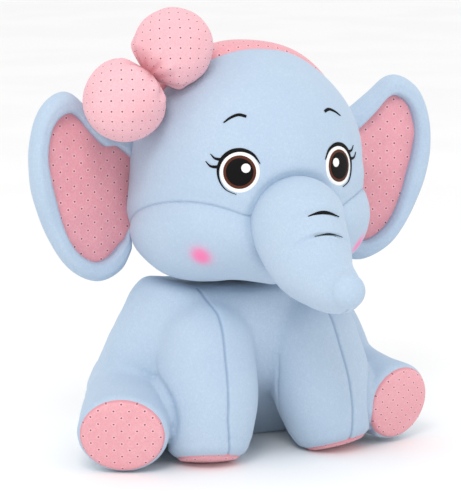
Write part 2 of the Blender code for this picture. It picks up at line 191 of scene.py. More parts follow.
def place(made, body, nodes=(), bend=None):
    """Seats a finished piece: without a bend it rides on its body, and with one it stays where it is made. The CAD
    nodes it stands for, its filling among them, are hidden.
    """
    if bend:
        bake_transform(made)
    else:
        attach(made, body)
    if nodes:
        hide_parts(*nodes)
    return made


# Materials


def linear(red, green, blue):
    """A colour given as 0-255 display values, in linear light."""
    channels = [c / 255 for c in (red, green, blue)]
    return (*[c / 12.92 if c <= 0.04045 else ((c + 0.055) / 1.055) ** 2.4 for c in channels], 1)


class Nodes:
    """Short names for building a material's nodes."""

    def __init__(self, name, roughness):
        self.material = bpy.data.materials.new(name)
        self.material.use_nodes = True
        self.tree = self.material.node_tree
        self.shader = self.tree.nodes["Principled BSDF"]
        self.shader.inputs["Roughness"].default_value = roughness
        self.place = self.add("ShaderNodeTexCoord").outputs["Object"]

    def add(self, kind, **settings):
        node = self.tree.nodes.new(kind)
        for label, value in settings.items():
            setattr(node, label, value)
        return node

    def join(self, value, socket):
        if isinstance(value, bpy.types.NodeSocket):
            self.tree.links.new(value, socket)
        else:
            socket.default_value = value

    def noise(self, scale, detail=3, vector=None, roughness=0.55):
        node = self.add("ShaderNodeTexNoise")
        self.join(self.place if vector is None else vector, node.inputs["Vector"])
        node.inputs["Scale"].default_value = scale
        node.inputs["Detail"].default_value = detail
        node.inputs["Roughness"].default_value = roughness
        return node.outputs["Fac"]

    def ramp(self, value, low, high, to_low=0.0, to_high=1.0):
        node = self.add("ShaderNodeMapRange", interpolation_type="SMOOTHSTEP")
        self.join(value, node.inputs["Value"])
        for label, number in zip(("From Min", "From Max", "To Min", "To Max"), (low, high, to_low, to_high)):
            node.inputs[label].default_value = number
        return node.outputs["Result"]

    def math(self, operation, a, b=0.0):
        node = self.add("ShaderNodeMath", operation=operation)
        self.join(a, node.inputs[0])
        self.join(b, node.inputs[1])
        return node.outputs[0]

    def mix(self, share, a, b, blend="MIX"):
        node = self.add("ShaderNodeMix", data_type="RGBA", blend_type=blend)
        self.join(share, node.inputs["Factor"])
        self.join(a, node.inputs[6])
        self.join(b, node.inputs[7])
        return node.outputs[2]

    def attribute(self, name):
        return self.add("ShaderNodeAttribute", attribute_name=name).outputs["Fac"]

    def bump(self, height, distance, strength, before=None):
        node = self.add("ShaderNodeBump")
        self.join(height, node.inputs["Height"])
        node.inputs["Distance"].default_value = distance
        node.inputs["Strength"].default_value = strength
        if before is not None:
            self.join(before, node.inputs["Normal"])
        return node.outputs["Normal"]

    def finish(self, colour, normal=None):
        self.join(colour, self.shader.inputs["Base Color"])
        if normal is not None:
            self.join(normal, self.shader.inputs["Normal"])
        return self.material


def stretched(nodes, across, down):
    """Object coordinates drawn out so that noise over them lies in short upright strands."""
    node = nodes.add("ShaderNodeMapping")
    nodes.join(nodes.place, node.inputs["Vector"])
    node.inputs["Scale"].default_value = (across, across, down)
    return node.outputs["Vector"]


def pile(nodes, colour, deep, light):
    """Short brushed pile: strands, tufts and a slow tone, returned as colour and normal."""
    strands = nodes.noise(1500, 2, stretched(nodes, 1.0, 0.45))
    tufts = nodes.noise(420, 3)
    tone = nodes.noise(16, 2)
    colour = nodes.mix(nodes.ramp(strands, 0.3, 0.62, 0.34, 0.0), colour, deep)
    colour = nodes.mix(nodes.ramp(tufts, 0.45, 0.75, 0.0, 0.30), colour, light)
    colour = nodes.mix(nodes.ramp(tone, 0.35, 0.7, 0.0, 0.16), colour, deep)
    normal = nodes.bump(strands, 0.5 * MM, 0.35)
    normal = nodes.bump(tufts, 0.7 * MM, 0.30, normal)
    return colour, normal


def soft_sheen(nodes, weight, tint):
    nodes.shader.inputs["Sheen Weight"].default_value = weight
    nodes.shader.inputs["Sheen Roughness"].default_value = 0.45
    nodes.shader.inputs["Sheen Tint"].default_value = tint
    nodes.shader.inputs["Specular IOR Level"].default_value = 0.15


BLUE = linear(181, 199, 217)
BLUE_DEEP = linear(155, 179, 205)
BLUE_LIGHT = linear(200, 215, 230)
PINK = linear(232, 172, 180)
PINK_DEEP = linear(206, 130, 140)
PINK_LIGHT = linear(242, 194, 200)
DOT = linear(120, 48, 62)
DOT_HALO = linear(250, 205, 212)
DOT_PITCH = 9.6 * MM
DOT_RADIUS = 0.85 * MM


def make_blue():
    nodes = Nodes("blue_plush_cloth", 0.92)
    colour, normal = pile(nodes, BLUE, BLUE_DEEP, BLUE_LIGHT)
    colour = nodes.mix(nodes.ramp(nodes.attribute("blush"), 0.0, 1.0, 0.0, 0.95), colour, linear(240, 124, 176))
    # Darker where the seam value is high: sewn seams, and painted shade in the folds between the legs and the belly and
    # in the crease round the trunk's root.
    colour = nodes.mix(nodes.ramp(nodes.attribute("seam"), 0.15, 1.0, 0.0, 0.42), colour, linear(95, 125, 165))
    soft_sheen(nodes, 0.22, (0.85, 0.93, 1.0, 1))
    return nodes.finish(colour, normal)


def make_pink(name, base, deep, light):
    """Pink pile printed with a lattice of small dark dots, each in a paler halo."""
    nodes = Nodes(name, 0.92)
    colour, normal = pile(nodes, base, deep, light)
    cell = nodes.add("ShaderNodeVectorMath", operation="FRACTION")
    scaled = nodes.add("ShaderNodeVectorMath", operation="SCALE")
    nodes.join(nodes.add("ShaderNodeUVMap", uv_map="print").outputs["UV"], scaled.inputs[0])
    scaled.inputs["Scale"].default_value = 1 / DOT_PITCH
    nodes.join(scaled.outputs[0], cell.inputs[0])
    centred = nodes.add("ShaderNodeVectorMath", operation="DISTANCE")
    nodes.join(cell.outputs[0], centred.inputs[0])
    centred.inputs[1].default_value = (0.5, 0.5, 0)
    fuzz = nodes.math("MULTIPLY", nodes.math("SUBTRACT", nodes.noise(1300, 1), 0.5), 0.05)
    distance = nodes.math("ADD", centred.outputs["Value"], fuzz)
    edge = DOT_RADIUS / DOT_PITCH
    colour = nodes.mix(nodes.ramp(distance, edge * 1.2, edge * 2.6, 0.55, 0.0), colour, DOT_HALO)
    colour = nodes.mix(nodes.ramp(distance, edge * 0.75, edge * 1.25, 0.92, 0.0), colour, DOT)
    # Darker where the seam value is high: sewn seams, and painted shade in the bow's puckers and at its gathered
    # middle.
    colour = nodes.mix(nodes.ramp(nodes.attribute("seam"), 0.15, 1.0, 0.0, 0.5), colour, PINK_DEEP)
    soft_sheen(nodes, 0.2, (1.0, 0.9, 0.92, 1))
    return nodes.finish(colour, normal)


def make_thread(name, dark, light, roughness):
    """Satin stitch: fine parallel threads with a soft gloss."""
    nodes = Nodes(name, roughness)
    wave = nodes.add("ShaderNodeTexWave", bands_direction="X")
    nodes.join(nodes.place, wave.inputs["Vector"])
    wave.inputs["Scale"].default_value = 420
    wave.inputs["Distortion"].default_value = 1.5
    threads = wave.outputs["Fac"]
    colour = nodes.mix(nodes.ramp(threads, 0.1, 0.9), dark, light)
    nodes.shader.inputs["Specular IOR Level"].default_value = 0.12
    return nodes.finish(colour, nodes.bump(threads, 0.15 * MM, 0.5))


blue = make_blue()
pink = make_pink("pink_print_cloth", PINK, PINK_DEEP, PINK_LIGHT)
bow_pink = make_pink("pink_print_bow", linear(236, 186, 194), linear(212, 140, 150), linear(244, 205, 211))
lining_pink = make_pink("pink_print_lining", linear(229, 163, 173), PINK_DEEP, linear(241, 190, 198))
white_thread = make_thread("white_thread", linear(232, 232, 230), linear(252, 252, 250), 0.5)
brown_thread = make_thread("brown_thread", linear(62, 30, 22), linear(104, 55, 38), 0.4)
black_thread = make_thread("black_thread", linear(4, 4, 4), linear(14, 13, 14), 0.55)


# Head

CHEEK_SEAM_TOP = -11.8
CHEEK_SEAM_AT = 50
CHEEK_SEAM_WIDTH = 1.0 * MM
CHEEK_SEAM_DROP = (0.0081, 0.0050)
CHEEK_SWELL = 6 * MM
CHIN_LIFT = 8 * MM
JOWL_LIFT = 3.5 * MM
TRUNK_CREASE_DEPTH = 4 * MM
BLUSH_TURN, BLUSH_RISE = 47.6, -33.8
BLUSH_RADIUS = 10.5 * MM


def direction_of(turn, rise):
    """Unit vectors from angles in degrees: turn from straight ahead towards +X, and rise."""
    turn, rise = np.asarray(turn) * DEG, np.asarray(rise) * DEG
    return np.stack([np.sin(turn) * np.cos(rise), -np.cos(turn) * np.cos(rise), np.sin(rise)], -1)


def angles_of(directions):
    rise = np.arcsin(np.clip(directions[..., 2], -1, 1)) / DEG
    return np.arctan2(directions[..., 0], -directions[..., 1]) / DEG, rise


def below_cheek_seam(turn, rise):
    """How far a direction lies below the seam over the cheek, in metres along the cover."""
    offset = np.abs(turn) - CHEEK_SEAM_AT
    drop = np.where(offset < 0, CHEEK_SEAM_DROP[0], CHEEK_SEAM_DROP[1]) * offset**2
    return (CHEEK_SEAM_TOP - drop - rise) * DEG * HEAD_RADIUS


def head_distance(directions):
    """Distance from the head's centre to its finished cover, and the seam value there, which also holds painted shade
    in the crease round the trunk's root.
    """
    turn, rise = angles_of(directions)
    plain = HEAD_RADIUS * (1 + JOWL_SWELL * np.sin(2 * np.minimum(rise, 0) * DEG) ** 2)
    below = below_cheek_seam(turn, rise)
    on_face = smoothstep(132, 100, np.abs(turn))
    rise_share = np.clip(below / (22 * MM), 0, 1)
    swell = CHEEK_SWELL * (1 - (1 - rise_share) ** 2.2) * smoothstep(95 * MM, 45 * MM, below) * on_face
    brow_side = 1.5 * MM * bump(below + 14 * MM, 9 * MM) * on_face
    low = smoothstep(-22, -50, rise)
    swell -= low * (JOWL_LIFT + (CHIN_LIFT - JOWL_LIFT) * smoothstep(75, 25, np.abs(turn)))
    seam = bump(below, CHEEK_SEAM_WIDTH) * on_face
    chin = bump(np.radians(turn) * HEAD_RADIUS, SEAM_HALF_WIDTH) * smoothstep(-30, -50, rise)
    back = bump(np.radians(180 - np.abs(turn)) * HEAD_RADIUS, SEAM_HALF_WIDTH) * smoothstep(60, 40, np.abs(rise))
    groove = np.maximum(seam, np.maximum(chin, back) * 0.7)
    uneven = 0.7 * MM * lumps(directions * HEAD_RADIUS, 60 * MM, 3)
    distance = plain + swell + brow_side + uneven
    beside_trunk = trunk_gap(HEAD_CENTRE + directions * distance[..., None])
    distance = distance - SEAM_GROOVE * groove - TRUNK_CREASE_DEPTH * bump(beside_trunk, 5 * MM)
    # Painted shade: the seam value is raised in the narrow crease where the trunk meets the face.
    return distance, np.maximum(groove * 0.75, 0.8 * bump(beside_trunk, 1.6 * MM))


def trunk_gap(points):
    """Distance of points outside the trunk, from balls along its line."""
    gap = np.full(points.shape[:-1], 1.0)
    for y, z, radius in curve_through(TRUNK_LINE, np.linspace(0, 2, 9)):
        gap = np.minimum(gap, np.linalg.norm(points - (0, y, z), axis=-1) - radius)
    return gap


def on_head(directions, lift=0.0):
    directions = unit(directions)
    return HEAD_CENTRE + directions * (head_distance(directions)[0] + lift)[..., None]


def build_head():
    turns = np.linspace(-180, 180, 440, endpoint=False)
    rises = np.linspace(90, -78, 300)
    turn, rise = np.meshgrid(turns, rises)
    directions = direction_of(turn, rise)
    distance, groove = head_distance(directions)
    points = HEAD_CENTRE + directions * distance[..., None]
    blush = np.zeros(turn.shape)
    for sign in (-1, 1):
        centre = on_head(direction_of(sign * BLUSH_TURN, BLUSH_RISE))
        gap = np.linalg.norm(points - centre, axis=-1)
        blush = np.maximum(blush, bump(gap, BLUSH_RADIUS))
    made = skin("head_cover", points, blue, paint={"seam": groove, "blush": blush})
    place(made, "head_body", ("head", "head_filling"))


# Crown band

BAND_LEAN = (-11, 19)
BAND_REACH = 60
BAND_SWEEP = 9
BAND_RISE = 4.6 * MM


def build_crown_band():
    """The patterned panel over the crown: crowned across, and tucked down along both edges."""
    tilts = np.linspace(-BAND_REACH, BAND_REACH, 150) * DEG
    leans = np.linspace(0, 1, 44)
    tilt, across = np.meshgrid(tilts, leans, indexing="ij")
    reach_share = np.abs(tilt) / (BAND_REACH * DEG)
    taper = 1 - 0.30 * reach_share**2
    middle = sum(BAND_LEAN) / 2 + BAND_SWEEP * reach_share**2
    lean = (middle + (across - 0.5) * (BAND_LEAN[1] - BAND_LEAN[0]) * taper) * DEG
    directions = np.stack([np.sin(tilt), np.cos(tilt) * np.sin(lean), np.cos(tilt) * np.cos(lean)], -1)
    edge = 1 - np.abs(2 * across - 1) ** 4
    end = smoothstep(0, 0.06, 1 - np.abs(tilt) / (BAND_REACH * DEG))
    lift = BAND_RISE * edge * end - 1.2 * MM * (1 - edge * end)
    uv = np.stack([tilt * HEAD_RADIUS, lean * HEAD_RADIUS * np.cos(tilt)], -1)
    points = on_head(directions, lift)
    seam = 1 - smoothstep(0.0, 0.25, edge * end)
    made = skin("crown_band_cover", points, pink, around=False, paint={"seam": seam}, uv=uv)
    place(made, "head_body", ("crown_band",))


# Embroidered face

EYE_TURNS = {1: 25.6, -1: 28.3}
EYE_RISE = 3.4
EYE_LAYERS = (
    # name, radius, share of the eye's height, lift at the rim, crown, material
    ("white", 17.8, 0.25, white_thread),
    ("iris", 14.6, 0.75, brown_thread),
    ("pupil", 12.1, 1.15, black_thread),
)
GLINT_RADIUS, GLINT_AT = 4.0, (-5.3, 3.3)
LID_RADIUS = 19.0
LASHES = (((16.2, 10.5), (22.0, 11.5), (26.5, 15.5)), ((19.2, 4.0), (26.0, 4.6), (31.0, 9.0)))
BROW_LINE = ((-5.5, 52.5), (2.0, 54.3), (9.5, 51.0), (16.0, 45.5))


def face_patch(name, sign, outline_u, outline_v, lift, crown, material, nodes=()):
    """A stitched patch from a grid of places beside the eye's centre, in metres; u runs outwards."""
    out = direction_of(sign * EYE_TURNS[sign], EYE_RISE)
    side = sign * unit(np.cross((0, 0, 1), out))
    up = np.cross(out, unit(np.cross((0, 0, 1), out)))
    directions = unit(out * HEAD_RADIUS + side * outline_u[..., None] + up * outline_v[..., None])
    points = on_head(directions, lift + crown)
    made = skin(name, points, material, around=False)
    return place(made, "head_body", nodes)


def disc_patch(name, sign, centre, radius, lift, material, nodes=()):
    shares = np.linspace(0, 1, 22)
    angles = np.linspace(0, 2 * math.pi, 97)
    share, angle = np.meshgrid(shares, angles, indexing="ij")
    u = (centre[0] + radius * share * np.cos(angle)) * MM
    v = (centre[1] + radius * share * np.sin(angle)) * MM
    crown = 0.5 * MM * np.sqrt(np.clip(1 - share**2, 0, 1)) - 0.6 * MM * (share > 0.999)
    return face_patch(name, sign, u, v, lift * MM, crown, material, nodes)


def stroke_patch(name, sign, line, widths, lift, nodes=()):
    """A raised line of stitches through places (u, v) beside the eye, in millimetres."""
    steps = 60
    t = np.linspace(0, len(line) - 1, steps)
    middle = curve_through(line, t)
    ahead = unit(np.gradient(middle, axis=0))
    across = np.stack([-ahead[:, 1], ahead[:, 0]], -1)
    half = np.interp(np.linspace(0, 1, steps), np.linspace(0, 1, len(widths)), widths) / 2
    shares = np.linspace(-1, 1, 9)
    uv = middle[:, None] + across[:, None] * (half[:, None] * shares)[..., None]
    crown = 0.55 * MM * np.sqrt(np.clip(1 - shares**2, 0, 1)) * np.ones((steps, 1)) - 0.3 * MM
    return face_patch(
        name, sign, uv[..., 0] * MM, uv[..., 1] * MM, lift * MM, crown, black_thread, nodes
    )


def build_face():
    for side, sign in (("left", 1), ("right", -1)):
        for k, (part, radius, lift, material) in enumerate(EYE_LAYERS):
            nodes = (side + "_eye",) if k == 0 else ()
            disc_patch(f"{side}_eye_{part}", sign, (0, 0), radius, lift, material, nodes)
        disc_patch(f"{side}_eye_glint", sign, GLINT_AT, GLINT_RADIUS, 1.7, white_thread)
        angles = np.linspace(158, -82, 9) * DEG
        lid = [(LID_RADIUS * math.cos(a), LID_RADIUS * math.sin(a)) for a in angles]
        stroke_patch(f"{side}_eye_lid", sign, lid, (0.8, 2.4, 3.4, 3.9, 3.6, 2.6, 1.6, 0.9, 0.5), 0.6)
        for k, lash in enumerate(LASHES):
            stroke_patch(f"{side}_lash_{k + 1}", sign, lash, (3.0, 2.0, 0.5), 0.6)
        stroke_patch(f"{side}_brow_line", sign, BROW_LINE, (3.2, 3.6, 3.3, 2.6, 1.3), 0.5, (side + "_brow",))


# Trunk

TRUNK_RADIUS = 42 * MM
TRUNK_LINE = np.array(
    [
        (JOINT_AT["trunk_lift"][1], JOINT_AT["trunk_lift"][2] - 2 * MM, TRUNK_RADIUS),
        (-76 * MM, 191 * MM, 36 * MM),
        (-101 * MM, 178.5 * MM, 27.2 * MM),
        (-125 * MM, 174.5 * MM, 20.8 * MM),
        (-142 * MM, 176.5 * MM, 15.2 * MM),
    ]
)
TRUNK_SPANS = len(TRUNK_LINE) - 1
CREASE_PLACES = {"upper": 0.44, "lower": 1.08}
CREASE_SPREAD = 23 * DEG
CREASE_MIDDLE = 82 * DEG


def trunk_surface(t, angle, lift=0.0):
    """Points round the trunk. angle runs from +X; pi/2 is its upper side."""
    t = np.asarray(t, float)
    y, z, radius = np.moveaxis(curve_through(TRUNK_LINE, t), -1, 0)
    y2, z2, _ = np.moveaxis(curve_through(TRUNK_LINE, np.minimum(t + 0.01, TRUNK_SPANS)), -1, 0)
    y1, z1, _ = np.moveaxis(curve_through(TRUNK_LINE, np.maximum(t - 0.01, 0)), -1, 0)
    ahead = unit(np.stack([y2 - y1, z2 - z1], -1))
    above_y, above_z = -ahead[..., 1], ahead[..., 0]
    flip = np.where(above_z < 0, -1, 1)
    reach = radius + lift
    x = reach * np.cos(angle)
    up = reach * np.sin(angle) * flip
    return np.stack([x, y + up * above_y, z + up * above_z], -1)


def trunk_form(t, angle):
    """Lift of the stuffed trunk over its plain line, and the seam value."""
    near_top = bump(np.angle(np.exp(1j * (angle - math.pi / 2))), 0.75)
    lift = np.zeros(np.broadcast(t, angle).shape)
    groove = np.zeros_like(lift)
    for crease in CREASE_PLACES.values():
        lift -= 1.5 * MM * bump(t - crease, 0.055) * near_top
        lift += 0.9 * MM * (bump(t - crease - 0.20, 0.12) + bump(t - crease + 0.20, 0.12)) * near_top
    under = bump(np.angle(np.exp(1j * (angle + math.pi / 2))) * 30 * MM, SEAM_HALF_WIDTH)
    groove = np.maximum(groove, under)
    lift -= SEAM_GROOVE * 0.8 * under
    return lift, groove


def build_trunk():
    angles = np.linspace(0, 2 * math.pi, 144, endpoint=False)
    rows = []
    grooves = []
    root_y, root_z, _ = TRUNK_LINE[0]
    ahead = unit(curve_through(TRUNK_LINE, np.array(0.02))[:2] - TRUNK_LINE[0, :2])
    for back in np.linspace(75, 4, 22) * DEG:
        reach = TRUNK_RADIUS * math.cos(back)
        y, z = np.array([root_y, root_z]) - ahead * TRUNK_RADIUS * math.sin(back)
        above = (ahead[1], -ahead[0]) if -ahead[0] < 0 else (-ahead[1], ahead[0])
        up = reach * np.sin(angles)
        above = np.array([-ahead[1], ahead[0]]) * (1 if ahead[0] > 0 else -1)
        rows.append(np.stack([reach * np.cos(angles), y + up * above[0], z + up * above[1]], -1))
        grooves.append(np.zeros(len(angles)))
    for t in np.linspace(0, TRUNK_SPANS, 150):
        lift, groove = trunk_form(np.full(len(angles), t), angles)
        fade = smoothstep(0, 0.3, t)
        points = trunk_surface(np.full(len(angles), t), angles, lift * fade)
        points += unit(points - trunk_surface(t, 0, -curve_through(TRUNK_LINE, t)[2])) * (
            0.5 * MM * lumps(points, 45 * MM, 5)[:, None]
        )
        rows.append(points)
        grooves.append(groove * fade)
    tip = curve_through(TRUNK_LINE, np.array(float(TRUNK_SPANS)))
    before = curve_through(TRUNK_LINE, np.array(TRUNK_SPANS - 0.05))
    end = unit(tip[:2] - before[:2])
    above = np.array([-end[1], end[0]]) * (1 if end[0] > 0 else -1)
    for turn in np.linspace(6, 90, 20) * DEG:
        reach = tip[2] * math.cos(turn)
        y, z = tip[:2] + end * tip[2] * 0.9 * math.sin(turn)
        up = reach * np.sin(angles)
        rows.append(np.stack([reach * np.cos(angles), y + up * above[0], z + up * above[1]], -1))
        grooves.append(np.zeros(len(angles)))
    made = skin("trunk_cover", np.array(rows), blue, paint={"seam": np.array(grooves)})
    root = JOINT_AT["trunk_lift"]
    bend = ("head_body", root + (0, 12 * MM, 4 * MM), root + (0, -16 * MM, -16 * MM))
    place(made, "trunk_body", ("trunk", "trunk_filling"), bend)
    for label, t in CREASE_PLACES.items():
        build_crease(label, t, bend)


def build_crease(label, t, bend):
    """A curved line of black stitches in the fold over the trunk."""
    shares = np.linspace(-1, 1, 48)
    across = np.linspace(-1, 1, 9)
    share, side = np.meshgrid(shares, across, indexing="ij")
    half = 1.5 * MM * (1 - 0.66 * share**2)
    bow = 0.05 * share**2
    angle = CREASE_MIDDLE + CREASE_SPREAD * share
    place_t = t + bow + side * half / (36 * MM)
    lift, _ = trunk_form(place_t, angle)
    crown = 0.75 * MM * np.sqrt(np.clip(1 - side**2, 0, 1)) - 0.25 * MM
    points = trunk_surface(place_t, angle, lift + crown + 0.7 * MM)
    made = skin(f"trunk_crease_{label}_stitches", points, black_thread, around=False)
    place(made, "trunk_body", (f"trunk_crease_{label}",), bend=bend)


# Ears

EAR_PLANE_X = abs(JOINT_AT["left_ear_flap"][0])
EAR_PLANE_Y = JOINT_AT["left_ear_flap"][1]
EAR_SWEEP = -0.16
EAR_MIDDLE = np.array([146, 246]) * MM
# Outline from the root's lower end, round the outside, to its upper end: x and height.
EAR_OUTLINE = np.array(
    [(98, 182), (109, 164), (133, 156), (160, 170), (181, 200), (195, 236), (199, 268), (196, 293),
     (187, 314), (173, 326), (158, 327), (140, 312), (112, 292), (92, 284)]
) * MM
EAR_PUFF = 13.5 * MM
EAR_RIM = 19 * MM
FLAP_LINE = (np.array([160, 315]) * MM, np.array([104, 270]) * MM)


def ear_reach(angles):
    """Distance from the ear's middle to its outline at each angle."""
    fine = curve_through(EAR_OUTLINE, np.linspace(0, len(EAR_OUTLINE) - 1, 400)) - EAR_MIDDLE
    closed = np.concatenate([fine, np.linspace(fine[-1], fine[0], 60)[1:-1]])
    around = np.arctan2(closed[:, 1], closed[:, 0])
    order = np.argsort(around)
    reach = np.linalg.norm(closed, axis=1)[order]
    return np.interp(angles, around[order], reach, period=2 * math.pi)


def rim_inner(angles, reach):
    """Where the blue rim ends inside the outline. Over the top it widens into the folded flap."""
    to_root = np.abs(np.angle(np.exp(1j * (angles - 184 * DEG))))
    rim = EAR_RIM * smoothstep(30, 62, to_root / DEG)
    inner = reach - rim
    start, step = FLAP_LINE[0] - EAR_MIDDLE, FLAP_LINE[1] - FLAP_LINE[0]
    normal = unit(np.array([step[1], -step[0]]))
    facing = np.stack([np.cos(angles), np.sin(angles)], -1) @ normal
    level = start @ normal
    flap = np.where(facing * np.sign(level) > 0.05, level / np.where(np.abs(facing) > 0.05, facing, 1), 1e3)
    softness = 3 * MM
    blended = -softness * np.logaddexp(-inner / softness, -np.abs(flap) / softness)
    return np.clip(blended, 5 * MM, reach)


def ear_points(sign, x, z, depth):
    y = EAR_PLANE_Y + (x - EAR_PLANE_X) * EAR_SWEEP + depth
    return np.stack([sign * x, y, z], -1)


def build_ear(side, sign):
    angles = np.linspace(-math.pi, math.pi, 260, endpoint=False)
    reach = ear_reach(angles)
    inner = rim_inner(angles, reach)
    # Section of the cover: (share between the rim's inner edge and the outline, depth).
    half = np.linspace(0, 1, 26)
    path = [(0.0, 0.86, None)]
    rows, seams = [], []

    def ring(distance, depth, seam=0.0):
        x = EAR_MIDDLE[0] + distance * np.cos(angles)
        z = EAR_MIDDLE[1] + distance * np.sin(angles)
        points = ear_points(sign, x, z, np.broadcast_to(depth, x.shape).copy())
        points[..., 1] += 0.6 * MM * lumps(points, 40 * MM, 7)
        rows.append(points)
        seams.append(np.full(len(angles), seam))

    for share in np.linspace(0, 0.93, 30):
        ring(reach * share, EAR_PUFF * 0.80 * (1 - share**6) ** 0.5)
    width = reach - inner
    thick = EAR_PUFF * (0.55 + 0.45 * smoothstep(2 * MM, 16 * MM, width))
    for turn in np.linspace(25, 180, 40) * DEG:
        out = np.minimum(width * 0.5, EAR_PUFF)
        distance = reach - out + out * np.sin(turn)
        depth = np.cos(turn) * np.where(turn < math.pi / 2, EAR_PUFF * 0.80, thick)
        if turn > math.pi / 2 or True:
            ring(distance, depth)
    for share in np.linspace(0.05, 1, 22):
        # From the rim's highest line in to its rolled inner edge.
        out = np.minimum(width * 0.5, EAR_PUFF)
        distance = (reach - out) + (inner - (reach - out)) * share
        roll = np.sqrt(np.clip(1 - share**5, 0, 1))
        depth = -(3 * MM + (thick - 3 * MM) * roll)
        ring(distance, depth, float(smoothstep(0.9, 1.0, share)))
    ring(inner + 0.5 * MM, -1 * MM, 1.0)
    cover = skin(f"{side}_ear_cover", np.array(rows), blue, paint={"seam": np.array(seams)})
    root = JOINT_AT[f"{side}_ear_flap"]
    bend = ("head_body", root - (sign * 2 * MM, 0, 0), root + (sign * 14 * MM, 2 * MM, 0))
    place(cover, f"{side}_ear_body", (f"{side}_ear", f"{side}_ear_filling"), bend)

    shares = np.linspace(0, 1, 50)
    share, angle = np.meshgrid(shares, angles, indexing="ij")
    distance = share * (inner + 2 * MM)
    x = EAR_MIDDLE[0] + distance * np.cos(angle)
    z = EAR_MIDDLE[1] + distance * np.sin(angle)
    depth = -4.2 * MM - 2.2 * MM * (1 - share**2)
    points = ear_points(sign, x, z, depth)
    points[..., 1] += 0.8 * MM * lumps(points, 34 * MM, 9)
    seam = smoothstep(0.93, 1.0, share)
    turned = np.stack([(x + z), (z - x)], -1) / math.sqrt(2)
    lining = skin(f"{side}_ear_lining_cloth", points, lining_pink, paint={"seam": seam}, uv=turned)
    place(lining, f"{side}_ear_body", (f"{side}_ear_lining",), bend)


# Bow

BOW_LOBES = {"upper": np.array([-81, 36, 367.5]) * MM, "lower": np.array([-126, 36, 324.5]) * MM}
BOW_RADIUS = 36.5 * MM
BOW_WIDTHS = {"upper": 0.945, "lower": 1.0}
BOW_PUCKERS = 9


def build_bow():
    """Two round lobes, each gathered in fine puckers to the knot between them."""
    knot = sum(BOW_LOBES.values()) / 2
    for label, centre in BOW_LOBES.items():
        away = unit(centre - knot)
        offset = np.linalg.norm(centre - knot)
        front = unit(np.array([0, -1, 0]) - away * away[1] * -1)
        side = np.cross(away, front)
        angles = np.linspace(0, 2 * math.pi, 168, endpoint=False)
        first = math.acos(offset / BOW_RADIUS) if offset < BOW_RADIUS else 0.0
        rows, seams = [], []
        for turn in np.linspace(first, math.pi, 96):
            along = offset - BOW_RADIUS * math.cos(turn)
            radius = BOW_RADIUS * BOW_WIDTHS[label] * math.sin(turn)
            gather = 1 - 0.62 * max(1 - max(along, 0) / (11 * MM), 0) ** 2.2
            fade = float(smoothstep(20 * MM, 2 * MM, along))
            ripple = np.cos(BOW_PUCKERS * angles) + 0.5 * np.cos((2 * BOW_PUCKERS - 5) * angles + 1)
            reach = radius * gather * (1 + 0.07 * fade * ripple)
            rows.append(
                knot + away * along + front * (reach * np.cos(angles))[:, None] + side * (reach * np.sin(angles))[:, None]
            )
            # Painted shade: darker in the valleys between the puckers and where the lobe gathers in to the knot.
            seams.append(0.75 * fade * smoothstep(0.1, -1.2, ripple) + 0.8 * float(smoothstep(6 * MM, 0, along)))
        points = np.array(rows)
        middle = knot + away * offset
        outward = unit(points - middle)
        points += outward * (0.5 * MM * lumps(points, 30 * MM, 11))[..., None]
        points = clear_of_head(points)
        facing = unit(np.array([-0.35, -1, 0.25]))
        across = unit(np.cross(facing, (0, 0, 1)))
        upright = np.cross(across, facing)
        angle = np.arccos(np.clip(outward @ facing, -1, 1))
        flat = unit(outward - (outward @ facing)[..., None] * facing)
        uv = np.stack([flat @ across, flat @ upright], -1) * (BOW_RADIUS * angle)[..., None]
        made = skin(f"bow_{label}_cover", points, bow_pink, paint={"seam": np.array(seams)}, uv=uv)
        node = f"bow_{label}_lobe"
        place(made, "head_body", (node, node + "_filling"))


def clear_of_head(points):
    """Rests a lobe on the head."""
    outward = points - HEAD_CENTRE
    distance = np.linalg.norm(outward, axis=-1)
    seat = head_distance(unit(outward))[0] + 1.0 * MM
    points = HEAD_CENTRE + unit(outward) * np.maximum(distance, seat)[..., None]
    return points


# Torso and legs

TORSO_PROFILE = np.array(
    [(0, 0), (40, 0), (90, 0), (113, 10), (127, 30), (133, 55), (132, 80), (123, 105), (110, 127), (99, 141),
     (84, 150), (40, 152), (0, 153)]
) * MM
TORSO_HEIGHT = TORSO_PROFILE[-1, 1]
TORSO_DEPTH_SHARE = 0.58
BELLY_DEPTH_SHARE = 0.42
BELLY_RAISE = 30 * MM
BELLY_TUCK = 12 * MM
SHOULDER_RISE = 8 * MM
TORSO_FOOT_Y, TORSO_TOP_Y = 88 * MM, 76 * MM
LEGS = {
    # radius at the joint, thigh and foot, height of a section for its width, roundness of the foot
    "front": (44 * MM, 46 * MM, 37.5 * MM, 1.0, 15 * MM),
    "hind": (44 * MM, 41 * MM, 40.5 * MM, 0.88, 8 * MM),
}
FEET = {
    ("front", "left"): np.array([66, 9, 11]) * MM,
    ("front", "right"): np.array([-61, 6, 10]) * MM,
    ("hind", "left"): np.array([127, 6, 38]) * MM,
    ("hind", "right"): np.array([-143, 6, 35.5]) * MM,
}
LEG_STARTS = {"front": np.array([0, -14, 0]) * MM, "hind": np.zeros(3)}
SOLE_SHARES = {"front": 0.36, "hind": 0.64}
FOLD_DEPTH = 3.2 * MM
BEND_FROM = 0.25
LEG_REACH = 9 * MM
LEG_JOINTS = {"front": "front_leg_swing", "hind": "hind_leg_lift"}
SOLE_END = 5 * MM
VOXEL = 2.4 * MM
CORE_INSET = 5 * MM
# Places (x, height) of the sewn line down the front of each front leg.
LEG_SEAMS = {
    "right": np.array([(-56, 158), (-51, 134), (-54, 88), (-57, 45), (-54, 8)]) * MM,
    "left": np.array([(48, 158), (56, 125), (60, 100), (64, 75), (67, 45), (67, 8)]) * MM,
}


